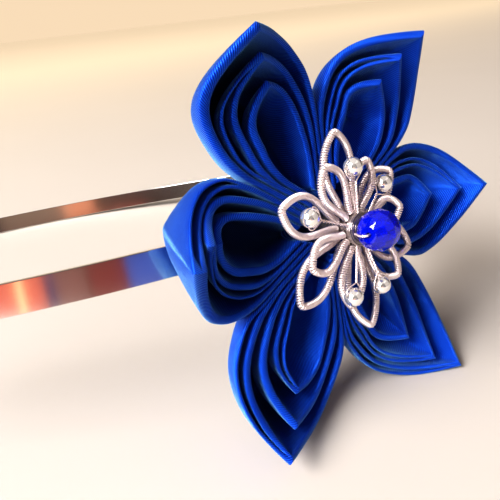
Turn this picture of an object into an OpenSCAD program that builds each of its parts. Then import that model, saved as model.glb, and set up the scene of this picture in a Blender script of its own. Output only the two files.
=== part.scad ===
// A thin metal headband with a folded ribbon flower on its side.
// The flower has six petals of three nested folds, and a rosette of
// coiled wire loops, small metal beads and one faceted glass bead.

/* [Headband] */
// Width of the metal strip
band_w = 6; // [5:0.5:7]
// Thickness of the metal strip
band_t = 1; // [0.8:0.1:1]
// Radius of the crown, to the middle of the strip
crown_r = 66; // [62:1:72]
// Half of the angle that the crown takes up
crown_half = 70; // [66:1:75]
// Radius of the flatter arms
arm_r = 150; // [130:5:180]
// Length of each arm
arm_len = 95; // [80:1:100]
// Angle round the crown from its top to the flower
flower_from_top = 63; // [55:1:64]

/* [Flower] */
// Tip radius of the outer folds
petal_r = 40; // [38:0.5:41]
// Half width of an outer fold at its widest
petal_half = 12.6; // [12:0.1:13]
// Height of the petals' backs over the middle of the strip
petal_back = 1.8; // [1.6:0.1:2.2]
// Thickness of a folded wall at its widest
wall = 1.5; // [1.2:0.1:1.6]

/* [Rosette] */
// Height of the rosette's hub over the middle of the strip
hub_h = 15; // [14.5:0.25:16]
// Thickness of the coiled wire
coil_d = 1.2; // [1:0.05:1.2]
// Diameter of the small metal beads
small_bead_d = 3.5; // [3:0.1:3.5]
// Diameter of the glass bead
glass_bead_d = 7.6; // [7:0.1:7.6]

/* [Hidden] */
clear = 0.1;

// One row for each petal, clockwise from the upper left: angle round
// the flower, change of tip radius, change of tip height, the share of
// the full width on its left and on its right side, how far its spine
// leans aside at its end, and the angle of the line to the next petal.
ANGLE = 0;
LONGER = 1;
HIGHER = 2;
LEFT = 3;
RIGHT = 4;
SPINE = 5;
NEXT = 6;
PETALS = [
    [115.9, -0.2, -1.2, 1.02, 0.92, 0, 90],
    [57.8, -1.4, 0.4, 0.96, 1.07, 0, 28.8],
    [-0.2, -0.4, -0.4, 0.95, 1.04, 0, -29.8],
    [-59.4, 1.8, 1.2, 0.93, 0.98, 0, -92.9],
    [-126.4, 2.2, -1.2, 1.07, 0.93, 0, -155.7],
    [-185, -2.2, 1.1, 0.98, 0.92, -4.5, -214.5]
];

// For each petal, how its outer, middle and inner fold end: change of
// tip radius, how far the tip lies aside, and how much further in than
// usual the fold's inner face ends.
TIP_LONGER = 0;
ASIDE = 1;
THICKER = 2;
TIPS = [
    [[0, 0, 0], [-0.3, -0.4, 0], [-0.5, -1, 0]],
    [[0, 0.3, 0], [-0.4, 1.2, 0], [-0.7, 1.7, 0]],
    [[-0.2, 0.5, 0], [-1.3, 0.7, 0], [-3.4, 0.8, 0]],
    [[0, 0.3, 0], [-0.5, -2.1, 0], [-3, -2.8, 0]],
    [[0.5, 0, 0], [-0.7, 1.7, 0], [-1.7, 2.2, 0]],
    [[-0.7, 0, 1], [-1.3, -2.8, 0], [0.3, -2.4, 0]]
];
bend_from = 10;

// The faces of the ribbon from the outside inwards; two rows make one
// fold. Half width and tip radius are taken off the outer fold's. Tip
// height counts from the hub, and the lift from the petals' backs. The
// border is how far a face stands off the line between two petals near
// the hub, and the last column is where the face starts.
NARROWER = 0;
SHORTER = 1;
TIP_H = 2;
LIFT = 3;
BORDER = 4;
START = 5;
FACES = [
    [0, 0, 4.8, 0, 0.1, 4.5],
    [wall, 1.6, 4.3, 1, 1.3, 5.7],
    [3.5, 4, 1.6, 1.35, 1.6, 6.3],
    [3.5 + wall, 5.6, 1.1, 2.35, 2.8, 7.5],
    [6.5, 8.6, -1.4, 2.65, 3.1, 8.1],
    [6.5 + wall, 10.1, -1.9, 3.65, 4.3, 9.3]
];

// Where the two layers of a fold stand apart, a row for each: petal,
// fold, side, the room that the slot takes outwards and inwards, and
// the radius that it opens from.
PETAL = 0;
FOLD = 1;
SIDE = 2;
OUTWARDS = 3;
INWARDS = 4;
OPENS = 5;
SLOTS = [
    [0, 1, 1, 1.2, 0.9, 14],
    [1, 1, 1, 0.6, 0.2, 12],
    [2, 1, 1, 0.5, 0.1, 12],
    [3, 0, -1, 0.5, 0.2, 12],
    [3, 1, -1, 0.4, 0.1, 12],
    [4, 0, -1, 0.9, 1, 14],
    [4, 2, -1, 0.6, 0.3, 12],
    [5, 0, -1, 0.7, 0.1, 20],
    [5, 1, 1, 0.8, 0.4, 14]
];
slot_fade = 9;
slot_tip_fade = 3.5;

// Sides of folds that are fuller or leaner than usual towards their
// tip: petal, fold, side, and the power that the outline follows
POWER = 3;
SHOULDERS = [
    [0, 0, 1, 9],
    [0, 1, 1, 6],
    [5, 0, -1, 2.4],
    [5, 1, -1, 2.5],
    [5, 2, -1, 2.6]
];

// Stations of the sections from a petal's base to its tip, and how
// many steps a section takes from keel to rim.
STATIONS = [0, 0.14, 0.28, 0.42, 0.55, 0.67, 0.78, 0.87, 0.95, 1];
steps = 5;
wide_at = 22;
rim_h = -4.75;
rim_dip = 0.7;
shoulder = 3.2;
tip_rise = 3.2;
heel = 0.86;
corner_blend = 2.5;

// The wire loops of the rosette, the long ones below the short ones:
// angle, tip radius, tip height, base height, half width
LOOPS = [
    [94.8, 17.8, 0, -1.2, 3.2],
    [34.8, 14.6, 0, -1.2, 3.1],
    [-26.2, 16.9, 0, -1.2, 3.2],
    [-85.2, 19.8, 0, -1.2, 3.3],
    [-146.2, 17.9, 0, -1.2, 3.2],
    [155.8, 17.3, 0, -1.2, 3.2],
    [117.8, 13.8, 1.5, 0.65, 2.6],
    [70.8, 12.4, 1.5, 0.65, 2.5],
    [6.8, 12, 1.5, 0.65, 2.5],
    [-51.2, 14.7, 1.5, 0.65, 2.6],
    [-106.2, 14.1, 0.95, 0.65, 2.6],
    [-162.2, 12.9, 1.5, 0.65, 2.6]
];
loop_start = 2.95;
loop_foot = 0.7;
loop_fullness = 1.6;
loop_steps = 8;
coil_sides = 6;

// The small beads: angle, radius and height over the hub
BEADS = [
    [92.8, 11.4, 2.5],
    [37.8, 10.9, 1],
    [156.8, 11.8, 1],
    [-116.2, 12.3, 3.3],
    [-74, 12.3, 2.2]
];
stem_d = 0.45;
stem_h = 1.75;
stem_sides = 6;
bead_hole_d = 0.7;

post_r = 2.8;
post_top = 1.95;
glass_bead_h = 6.06;
glass_bead_tilt = 10;
glass_hole_d = 0.9;
glass_wire_d = 0.6;
glass_facets = 12;

felt_r = 16;
felt_back_r = 11;
felt_back = 2.2;

// Angle from a petal's middle to the line between it and a neighbour
function side_half(i, side) =
    let (last = len(PETALS) - 1)
    side < 0 ? PETALS[i][ANGLE] - PETALS[i][NEXT]
    : i > 0 ? PETALS[i - 1][NEXT] - PETALS[i][ANGLE]
    : PETALS[last][NEXT] + 360 - PETALS[i][ANGLE];

function soft_min(a, b, k) =
    let (h = max(k - abs(a - b), 0) / k)
    min(a, b) - h * h * k / 4;

// The row of a table that names a face's petal, fold and side
function row_of(table, i, f, side) =
    [for (r = table) if (r[PETAL] == i && r[FOLD] == floor(f / 2) && r[SIDE] == side) r][0];

// How far a slot moves one face on one side at radius u
function slot_room(i, f, side, u) =
    let (row = row_of(SLOTS, i, f, side))
    is_undef(row) ? 0
    : (f % 2 == 0 ? row[OUTWARDS] : -row[INWARDS])
      * min(1, max(0, u - row[OPENS]) / slot_fade)
      * min(1, max(0, tip_r(i, f) - u) / slot_tip_fade);

function shoulder_power(i, f, side) =
    let (row = row_of(SHOULDERS, i, f, side))
    is_undef(row) ? shoulder : row[POWER];

function fold_tip(i, f) = TIPS[i][floor(f / 2)];
function tip_r(i, f) =
    petal_r + PETALS[i][LONGER] - FACES[f][SHORTER] + fold_tip(i, f)[TIP_LONGER]
    - (f % 2) * fold_tip(i, f)[THICKER];
function tip_h(i, f) = FACES[f][TIP_H] + PETALS[i][HIGHER];
function past_wide(i, f, u) = max(u - wide_at, 0) / (tip_r(i, f) - wide_at);
function bend(i, f, u) = pow(max(0, u - bend_from) / (tip_r(i, f) - bend_from), 2);

// Distance of a face's rim from the fold's middle line at radius u
function rim_half(i, f, side, u) =
    let (
        full = petal_half * PETALS[i][side > 0 ? LEFT : RIGHT] - FACES[f][NARROWER],
        leaf = full * (1 - pow(past_wide(i, f, u), shoulder_power(i, f, side))),
        border = u * tan(side_half(i, side)) - FACES[f][BORDER]
               - side * fold_tip(i, f)[ASIDE] * bend(i, f, u),
        edge = soft_min(border, leaf, corner_blend) + slot_room(i, f, side, u)
    )
    max(0, min(border, edge));

function rim_height(i, f, u) =
    rim_h - rim_dip * max(0, wide_at - u) / wide_at
    + (tip_h(i, f) - rim_h) * pow(past_wide(i, f, u), tip_rise);

// A point of a face: s runs from base to tip, t from keel to rim
function face_point(i, f, side, s, t) =
    let (
        start = FACES[f][START],
        u_rim = start + (tip_r(i, f) - start) * s,
        u_keel = start + (tip_r(i, f) * heel - start) * s,
        low = petal_back - hub_h + FACES[f][LIFT],
        up = pow(1 - cos(90 * t), 1.1),
        half = s == 1 ? 0 : rim_half(i, f, side, u_rim),
        spine = PETALS[i][SPINE],
        lean = spine + (fold_tip(i, f)[ASIDE] - spine) * up
    )
    [u_keel + (u_rim - u_keel) * sqrt(up),
     side * half * pow(sin(90 * t), 0.8) + lean * bend(i, f, u_rim),
     low + (rim_height(i, f, u_rim) - low) * up];

function unit(v) = v / norm(v);

crown_start = -90 - (crown_half - flower_from_top);
arm_turn = arm_len / arm_r * 180 / PI;
arc_steps = 24;
end_r = band_w / 2 + 0.05;
end_inset = 0.06;

// The headband rests on one of its lower petals and on the far arm of
// the strip, so all of it is turned from the strip's own plane, lifted,
// and moved until the origin is in the middle of its floor box.
FAR = 1;
NEAR = -1;

// A point of an arc of the strip, some way out from its middle line
function strip_point(joint, radius, angle, out) =
    [(crown_r - radius) * cos(joint) + (radius + out) * cos(angle),
     crown_r + (crown_r - radius) * sin(joint) + (radius + out) * sin(angle)];

function strip_arc(joint, radius, from, turn, out) = [
    for (k = [1:arc_steps])
        strip_point(joint, radius, from + turn * k / arc_steps, out)
];

function strip_line(out) =
    let (crown_end = crown_start + 2 * crown_half)
    concat(
        [strip_point(crown_start, arm_r, crown_start - arm_turn, out)],
        strip_arc(crown_start, arm_r, crown_start - arm_turn, arm_turn, out),
        strip_arc(crown_start, crown_r, crown_start, crown_half, out),
        strip_arc(crown_start, crown_r, crown_start + crown_half, crown_half, out),
        strip_arc(crown_end, arm_r, crown_end, arm_turn, out)
    );

function end_joint(way) = crown_start + (way == FAR ? 2 * crown_half : 0);
function end_angle(way) = end_joint(way) + way * arm_turn;

// A point of an arm's outer face, that far back from the arm's end
function arm_point(way, back, z) =
    let (angle = end_angle(way) - way * back / arm_r * 180 / PI)
    concat(strip_point(end_joint(way), arm_r, angle, band_t / 2), z);

// A point of an outer fold, in the strip's frame
function fold_point(i, side, s, t) =
    let (p = face_point(i, 0, side, s, t), a = PETALS[i][ANGLE])
    [p[0] * cos(a) - p[1] * sin(a), -p[2] - hub_h, p[0] * sin(a) + p[1] * cos(a)];

// It stands on a fold just below its rim, and on one step of the arm
foot_s = 0.95;
foot_t = 0.8;
foot_step = 4;
arm_step = arm_len / arc_steps;
feet = [
    fold_point(3, -1, foot_s, foot_t),
    arm_point(FAR, foot_step * arm_step, -band_w / 2),
    arm_point(FAR, (foot_step + 1) * arm_step, -band_w / 2)
];
floor_up = unit(cross(feet[2] - feet[1], feet[0] - feet[1])) * -1;
rest_roll = atan2(floor_up[1], floor_up[2]);
rest_pitch = atan2(-floor_up[0], norm([floor_up[1], floor_up[2]]));

function turned(p) =
    let (
        y = p[1] * cos(rest_roll) - p[2] * sin(rest_roll),
        z = p[1] * sin(rest_roll) + p[2] * cos(rest_roll)
    )
    [p[0] * cos(rest_pitch) + z * sin(rest_pitch), y,
     z * cos(rest_pitch) - p[0] * sin(rest_pitch)];

left_end = turned(arm_point(NEAR, end_inset, 0))[0];
right_end = turned([crown_r + band_t / 2, crown_r, band_w / 2])[0];
front_end = min([for (i = [0:len(PETALS) - 1]) turned(fold_point(i, 1, 1, 1))[1]]);
back_end = turned(arm_point(FAR, end_inset + band_w / 6, band_w / 3))[1];

// Frames. The part rests on the floor; the flower's face looks along
// its own +Z, with the origin at the hub of the rosette.
module at_rest() {
    translate([-(left_end + right_end) / 2, -(front_end + back_end) / 2, -turned(feet[0])[2]])
        rotate([rest_roll, rest_pitch, 0])
            children();
}

module in_flower() {
    at_rest()
        translate([0, -hub_h, 0])
            rotate([90, 0, 0])
                children();
}

// The strip: a crown arc and two flatter arms that carry on from its
// ends. The middle of the flower is where the strip crosses the origin.
module strip(extra) {
    outer = strip_line(band_t / 2 + extra);
    inner = strip_line(-band_t / 2 - extra);
    last = len(inner) - 1;
    linear_extrude(height = band_w + 2 * extra, center = true)
        polygon(concat(outer, [for (k = [last:-1:0]) inner[k]]));
}

// What is cut off the square end of an arm to round it
module end_cut(way) {
    translate(concat(strip_point(end_joint(way), arm_r, end_angle(way), 0), 0))
        rotate([0, 0, end_angle(way)])
            mirror([0, way == FAR ? 0 : 1, 0])
                rotate([0, 90, 0])
                    linear_extrude(height = 4 * band_t, center = true)
                        difference() {
                            translate([-band_w, -end_inset - end_r])
                                square([2 * band_w, 2 * band_w]);
                            translate([0, -end_inset - end_r])
                                circle(r = end_r, $fn = 48);
                        }
}

module headband() {
    color("lightgray")
        at_rest()
            difference() {
                strip(0);
                end_cut(FAR);
                end_cut(NEAR);
            }
}

// Felt glued to the backs of the petals and folded round the strip
module felt_backing() {
    color("midnightblue")
        at_rest()
            difference() {
                union() {
                    translate([0, -band_t / 2 - clear, 0])
                        rotate([90, 0, 0])
                            cylinder(r = felt_r, h = petal_back - band_t / 2 - 2 * clear,
                                     $fn = 64);
                    translate([0, felt_back, 0])
                        rotate([90, 0, 0])
                            cylinder(r = felt_back_r, h = felt_back + petal_back - 2 * clear,
                                     $fn = 64);
                }
                strip(clear / 2);
            }
}

// The points of a section, from the left rim round to the right one
function section(i, f, s) = [
    for (k = [steps:-1:1]) face_point(i, f, 1, s, k / steps),
    for (k = [0:steps]) face_point(i, f, -1, s, k / steps)
];

// Two triangles between four corners in order round the patch
function patch(a, b, c, d) = [[a, b, c], [a, c, d]];

module petal_fold(i, fold) {
    rows = len(STATIONS);
    cols = 2 * steps + 1;
    all = rows * cols;
    last = cols - 1;
    outside = [for (s = STATIONS) each section(i, 2 * fold, s)];
    inside = [for (s = STATIONS) each section(i, 2 * fold + 1, s)];
    faces = [
        for (a = [0:rows - 2], b = [0:cols - 2])
            let (p = a * cols + b)
            each patch(p, p + 1, p + cols + 1, p + cols),
        for (a = [0:rows - 2], b = [0:cols - 2])
            let (p = all + a * cols + b)
            each patch(p, p + cols, p + cols + 1, p + 1),
        for (a = [0:rows - 2])
            let (p = a * cols)
            each patch(p, p + cols, all + p + cols, all + p),
        for (a = [0:rows - 2])
            let (p = a * cols + last)
            each patch(p, all + p, all + p + cols, p + cols),
        for (b = [0:cols - 2])
            each patch(b, all + b, all + b + 1, b + 1)
    ];
    color("royalblue")
        in_flower()
            rotate([0, 0, PETALS[i][ANGLE]])
                polyhedron(points = concat(outside, inside), faces = faces);
}

// A tube of round wire along a path, closed at both ends
function ring(path, i, radius, sides, side_way) =
    let (
        last = len(path) - 1,
        way = unit(path[min(i + 1, last)] - path[max(i - 1, 0)]),
        up = unit(cross(way, side_way)),
        across = cross(up, way)
    )
    [for (k = [0:sides - 1])
        path[i] + radius * (across * cos(360 * k / sides) + up * sin(360 * k / sides))];

module wire(path, diameter, sides, side_way) {
    rings = len(path);
    points = [for (i = [0:rings - 1]) each ring(path, i, diameter / 2, sides, side_way)];
    walls = [
        for (i = [0:rings - 2], k = [0:sides - 1])
            let (p = i * sides + k, q = i * sides + (k + 1) % sides)
            each patch(p, p + sides, q + sides, q)
    ];
    first_end = [[for (k = [0:sides - 1]) k]];
    last_end = [[for (k = [sides - 1:-1:0]) (rings - 1) * sides + k]];
    polyhedron(points = points, faces = concat(walls, first_end, last_end));
}

// Half of a pointed loop: s runs from its foot at the hub to its tip
function loop_point(row, side, s) =
    let (
        peak = loop_fullness / (1 + loop_fullness),
        top = pow(peak, loop_fullness) * (1 - peak),
        leaf = pow(s, loop_fullness) * (1 - s) / top
    )
    [loop_start + (row[1] - loop_start) * s,
     side * (loop_foot * (1 - s) + row[4] * leaf),
     row[3] + (row[2] - row[3]) * s * s];

module wire_loop(i) {
    row = LOOPS[i];
    path = [
        for (k = [0:loop_steps - 1]) loop_point(row, 1, k / loop_steps),
        loop_point(row, 1, 1),
        for (k = [loop_steps - 1:-1:0]) loop_point(row, -1, k / loop_steps)
    ];
    color("silver")
        in_flower()
            rotate([0, 0, row[0]])
                wire(path, coil_d, coil_sides, [0, 0, 1]);
}

module rosette_post() {
    color("silver")
        in_flower()
            translate([0, 0, petal_back - hub_h])
                cylinder(r = post_r, h = post_top + hub_h - petal_back, $fn = 32);
}

// The small beads are threaded across the stems that hold them
module at_bead(i) {
    in_flower()
        rotate([0, 0, BEADS[i][0]])
            translate([BEADS[i][1], 0, BEADS[i][2]])
                children();
}

module silver_bead(i) {
    color("gainsboro")
        at_bead(i)
            difference() {
                sphere(d = small_bead_d, $fn = 32);
                rotate([90, 0, 0])
                    cylinder(d = bead_hole_d, h = 2 * small_bead_d, center = true, $fn = 24);
            }
}

// One wire runs out, through the bead and back to the hub
module bead_stem(i) {
    reach = BEADS[i][1] - post_r - clear;
    drop = stem_h - BEADS[i][2];
    side = stem_d / 2 + clear / 2;
    beside = small_bead_d / 2 + stem_d;
    half = [
        [-reach, side, drop],
        [-reach / 2, side, drop / 2],
        [-beside - stem_d, side, 0],
        [-beside, 3 * side, 0],
        [-beside / 2, beside - stem_d / 2, 0],
        [-stem_d / 2, beside - stem_d / 4, 0],
        [0, small_bead_d / 2 - stem_d, 0]
    ];
    path = concat(half, [for (k = [len(half) - 1:-1:0])
        [half[k][0], -half[k][1], half[k][2]]]);
    color("silver")
        at_bead(i)
            wire(path, stem_d, stem_sides, [0, 0, 1]);
}

module at_glass_bead() {
    in_flower()
        translate([0, 0, glass_bead_h])
            rotate([0, glass_bead_tilt, 0])
                children();
}

// Rows of flat facets round a hole, with a flat table at each end
module glass_bead() {
    r = glass_bead_d / 2;
    table = 1.5;
    hole = glass_hole_d / 2;
    outline = [
        [hole, -r * 0.93], [table, -r * 0.93], [r * 0.78, -r * 0.64], [r * 0.98, -r * 0.24],
        [r * 0.98, r * 0.24], [r * 0.78, r * 0.64], [table, r * 0.93], [hole, r * 0.93]
    ];
    color("mediumblue", 0.8)
        at_glass_bead()
            rotate([0, 90, 0])
                rotate_extrude($fn = glass_facets)
                    polygon(outline);
}

// One wire goes up from the hub, through the bead and down again
module glass_bead_wire() {
    r = glass_bead_d / 2;
    sink = r * sin(glass_bead_tilt);
    foot = post_top + glass_wire_d / 2 + sink + clear - glass_bead_h;
    half = [
        [-r * 0.73, foot],
        [-r * 0.9, foot + 0.7],
        [-r - 0.55, -1.6],
        [-r - 0.65, -0.6],
        [-r - 0.2, -0.05],
        [-r * 0.8, 0]
    ];
    path = concat([for (p = half) [p[0], 0, p[1]]],
                  [for (k = [len(half) - 1:-1:0]) [-half[k][0], 0, half[k][1]]]);
    color("silver")
        at_glass_bead()
            wire(path, glass_wire_d, stem_sides, [0, 1, 0]);
}

headband();
felt_backing();
rosette_post();
glass_bead();
glass_bead_wire();

fold_names = ["outer", "middle", "inner"];
for (i = [0:len(PETALS) - 1], fold = [0:len(fold_names) - 1])
    petal_fold(i, fold);
for (i = [0:len(LOOPS) - 1])
    wire_loop(i);
for (i = [0:len(BEADS) - 1])
    silver_bead(i);
for (i = [0:len(BEADS) - 1])
    bead_stem(i);
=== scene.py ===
"""A thin metal headband with a folded ribbon flower on its side.

The CAD model is loaded as the frame, and each piece of it that cloth,
coiled wire, glass or polish would show is modelled again over its node.
"""

import math
from collections import namedtuple

import bpy
import numpy as np
from bpy.props import FloatProperty, FloatVectorProperty, PointerProperty
from bpy.types import Operator, Panel, PropertyGroup
from mathutils import Euler, Matrix, Vector, noise


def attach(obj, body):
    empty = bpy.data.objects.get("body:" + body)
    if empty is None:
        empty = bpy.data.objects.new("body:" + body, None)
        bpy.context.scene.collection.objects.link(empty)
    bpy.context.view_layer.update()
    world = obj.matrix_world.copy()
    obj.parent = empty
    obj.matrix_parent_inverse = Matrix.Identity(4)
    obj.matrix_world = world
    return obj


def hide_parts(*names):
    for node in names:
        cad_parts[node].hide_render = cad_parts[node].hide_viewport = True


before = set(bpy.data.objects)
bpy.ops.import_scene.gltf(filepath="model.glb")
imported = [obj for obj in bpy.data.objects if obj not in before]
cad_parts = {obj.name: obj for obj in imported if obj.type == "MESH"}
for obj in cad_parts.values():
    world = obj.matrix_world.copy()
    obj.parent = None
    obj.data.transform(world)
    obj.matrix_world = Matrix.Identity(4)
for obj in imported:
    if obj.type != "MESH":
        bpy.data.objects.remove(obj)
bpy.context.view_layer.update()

bl_info = {
    "name": "Ribbon Flower Headband",
    "version": (1, 0, 0),
    "blender": (4, 5, 0),
    "location": "3D View > Sidebar > Headband",
    "description": "Models a metal headband with a folded ribbon flower",
    "category": "Object",
}

MM = 0.001


def turned(degrees, axis):
    return Matrix.Rotation(math.radians(degrees), 4, axis)


# The strip's own frame as it rests on the floor, and the flower's frame:
# its face looks along +Z, with the origin at the hub of the rosette.
HUB = 15.0
REST = (
    Matrix.Translation((0.0137767, -0.062821, 0.0328783))
    @ turned(3.6834, "Y")
    @ turned(-11.7692, "X")
)
FLOWER = REST @ Matrix.Translation((0, -HUB * MM, 0)) @ turned(90, "X")

# Outside the stage, sizes are in millimetres and angles in degrees


def table(columns, *rows):
    """Rows of values whose columns have names"""
    row_kind = namedtuple("Row", columns)
    return [row_kind(*row) for row in rows]


# A row for each petal, clockwise from the upper left: its angle, how its
# tip differs, its width on either side as a share of the full one, the
# lean of its spine, and the angle of the line to the next petal
PETALS = table(
    "angle longer higher left right spine next_line",
    (115.9, -0.2, -1.2, 1.02, 0.92, 0, 90),
    (57.8, -1.4, 0.4, 0.96, 1.07, 0, 28.8),
    (-0.2, -0.4, -0.4, 0.95, 1.04, 0, -29.8),
    (-59.4, 1.8, 1.2, 0.93, 0.98, 0, -92.9),
    (-126.4, 2.2, -1.2, 1.07, 0.93, 0, -155.7),
    (-185, -2.2, 1.1, 0.98, 0.92, -4.5, -214.5),
)
# How the outer, middle and inner fold of each petal end: change of tip
# radius, shift of the tip aside, and how much further in than usual the
# fold's inner face ends
TIPS = [
    table("longer aside thicker", *folds)
    for folds in (
        ((0, 0, 0), (-0.3, -0.4, 0), (-0.5, -1, 0)),
        ((0, 0.3, 0), (-0.4, 1.2, 0), (-0.7, 1.7, 0)),
        ((-0.2, 0.5, 0), (-1.3, 0.7, 0), (-3.4, 0.8, 0)),
        ((0, 0.3, 0), (-0.5, -2.1, 0), (-3, -2.8, 0)),
        ((0.5, 0, 0), (-0.7, 1.7, 0), (-1.7, 2.2, 0)),
        ((-0.7, 0, 1), (-1.3, -2.8, 0), (0.3, -2.4, 0)),
    )
]
PETAL_R = 40.0
PETAL_HALF = 12.6
PETAL_BACK = 1.8
WALL = 1.5

# The faces of the ribbon from the outside inwards, two to a fold. Half
# width and tip radius are taken off the outer fold's, the tip's height is
# over the hub and the lift over the petals' backs. The border is how far
# a face stands off the line between two petals, and start is its base.
FACES = table(
    "narrower shorter tip_height lift border start",
    (0, 0, 4.8, 0, 0.1, 4.5),
    (WALL, 1.6, 4.3, 1, 1.3, 5.7),
    (3.5, 4, 1.6, 1.35, 1.6, 6.3),
    (3.5 + WALL, 5.6, 1.1, 2.35, 2.8, 7.5),
    (6.5, 8.6, -1.4, 2.65, 3.1, 8.1),
    (6.5 + WALL, 10.1, -1.9, 3.65, 4.3, 9.3),
)
FOLDS = ("outer", "middle", "inner")

# The outline of a petal: where it is widest, the power that it narrows
# by, how softly it meets the line to its neighbour, the height of its rim
# and how far that sinks at the hub, the power that it rises to the tip
# by, and the share of the tip's radius that the keel reaches
WIDE_AT = 22.0
SHOULDER = 3.2
CORNER_BLEND = 2.5
RIM_H = -4.75
RIM_DIP = 0.7
TIP_RISE = 3.2
HEEL = 0.86
# Where a fold starts to lean aside
BEND_FROM = 10.0
# The curve of a wall from its keel to its rim: how late it rises and how
# soon it is out at its full width
LATE_RISE = 1.1
SOON_WIDE = 0.8

# Where the two layers of a fold stand apart, by petal, fold and side: the
# room that the slot takes outwards and inwards, the radius it opens from,
# and the thickness of the outer and of the inner layer
Slot = namedtuple("Slot", "outwards inwards opens ply inner_ply")
SLOTS = {
    (0, 1, 1): Slot(1.2, 0.9, 14, 0.7, 1.3),
    (1, 1, 1): Slot(0.6, 0.2, 12, 0.7, 0.8),
    (2, 1, 1): Slot(0.5, 0.1, 12, 0.7, 0.8),
    (3, 0, -1): Slot(0.5, 0.2, 12, 0.7, 0.9),
    (3, 1, -1): Slot(0.4, 0.1, 12, 0.7, 0.8),
    (4, 0, -1): Slot(0.9, 1, 14, 0.8, 1.5),
    (4, 2, -1): Slot(0.6, 0.3, 12, 1.1, 0.5),
    (5, 0, -1): Slot(0.7, 0.1, 20, 0.6, 0.8),
    (5, 1, 1): Slot(0.8, 0.4, 14, 0.6, 1.2),
}
# Lengths over which a slot opens, and closes again before the tip
SLOT_FADE = 9.0
SLOT_TIP_FADE = 3.5
# How deep a slot goes, as a share of the turn from rim to keel, how soon
# its layers part as it opens, and the most of the wall that each takes
SLOT_DEPTH = 0.5
PARTS_SOON = 2.2
OUTER_PLY_MOST = 0.4
INNER_PLY_MOST = 0.55
# How high the rims of the two layers stand, as a share of a whole rim
OUTER_LIP = 0.7
INNER_LIP = 0.85

# Sides of folds that are fuller or leaner than usual towards their tip
SHOULDERS = {
    (0, 0, 1): 9,
    (0, 1, 1): 6,
    (5, 0, -1): 2.4,
    (5, 1, 1): 2.7,
    (5, 1, -1): 2.5,
    (5, 2, 1): 2.3,
    (5, 2, -1): 2.3,
}
# Outer walls that bulge out past their rims, by petal and side: how far,
# the radius where it starts, and the lengths over which it grows and ends
BELLIES = {(0, 1): 0.3, (4, 1): 0.5, (5, -1): 0.3}
BELLY_FROM = 16.0
BELLY_GROWS = 8.0
BELLY_ENDS = 9.0

# Rows of points from a fold's base to its tip, which stand closer there
FOLD_ROWS = 56
TIP_CROWDING = 1.4
# Columns of points across one side of a fold: up the outer face, over one
# arch, down and up the slot, over the other arch, and down the inner face
FACE_COLUMNS = 14
ARCH_COLUMNS = 7
SLOT_DEPTHS = 5
SLOT_COLUMNS = 2 * SLOT_DEPTHS - 1
FIRST_RIM = FACE_COLUMNS + ARCH_COLUMNS - 1
SLOT_FLOOR = FIRST_RIM + SLOT_DEPTHS
SECOND_RIM = FIRST_RIM + SLOT_COLUMNS + 1
# How far up a face goes before the arch of its rim starts
FACE_TOP = 0.975

# The loops of coiled wire: the long ones, then the short ones above them
LOOPS = table(
    "angle tip_radius tip_height base_height half_width",
    (94.8, 17.8, 0, -1.2, 3.2),
    (34.8, 14.6, 0, -1.2, 3.1),
    (-26.2, 16.9, 0, -1.2, 3.2),
    (-85.2, 19.8, 0, -1.2, 3.3),
    (-146.2, 17.9, 0, -1.2, 3.2),
    (155.8, 17.3, 0, -1.2, 3.2),
    (117.8, 13.8, 1.5, 0.65, 2.6),
    (70.8, 12.4, 1.5, 0.65, 2.5),
    (6.8, 12, 1.5, 0.65, 2.5),
    (-51.2, 14.7, 1.5, 0.65, 2.6),
    (-106.2, 14.1, 0.95, 0.65, 2.6),
    (-162.2, 12.9, 1.5, 0.65, 2.6),
)
LOOP_START = 2.95
LOOP_FOOT = 0.7
LOOP_FULLNESS = 1.6
LOOP_STEPS = 44
# How far the coil's middle line goes past the tip, and its outer radius
LOOP_POINT = 0.25
COIL_R = 0.74

BEAD_R = 1.75
BEAD_HOLE_R = 0.36
BEADS = table(
    "angle radius height",
    (92.8, 11.4, 2.5),
    (37.8, 10.9, 1),
    (156.8, 11.8, 1),
    (-116.2, 12.3, 3.3),
    (-74, 12.3, 2.2),
)
# The post, the twisted stems from its side, and the glass bead over it
POST_R = 2.8
POST_TOP = 1.95
STEM_H = 1.75
STEM_WIRE_R = 0.15
STEM_TWIST = 1.15
GLASS_R = 3.8
GLASS_HOLE_R = 0.45
GLASS_FACETS = 12
GLASS_H = 6.06
GLASS_TILT = 10.0
TIE_WIRE_R = 0.22

# The wire wound round the hub, so many turns up it and over its top: its
# radius and height at the start of each, and their change in every turn
WRAP_TURNS = 5
WRAP_STEPS = 24
WRAP_WIRE_R = 0.16
WRAP_R = 3.0
WRAP_H = 1.42
WRAP_RISE = 0.13
WRAP_TOP_R = 2.95
WRAP_TOP_H = 2.16
WRAP_INWARDS = 0.36

# The strip: an arm, the crown and an arm, spun through so many steps
CROWN_R = 66.0
CROWN_START = -97.0
CROWN_TURN = 140.0
CROWN_STEPS = 72
ARM_R = 150.0
ARM_TURN = math.degrees(95.0 / ARM_R)
ARM_STEPS = 40
BAND_W = 6.0
BAND_T = 1.0
END_ROUND = 2.85


# Sizes and colours


def in_mm(name, description, default, low, high):
    return FloatProperty(
        name=name, description=f"{description}, in mm", default=default, min=low, max=high
    )


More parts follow.
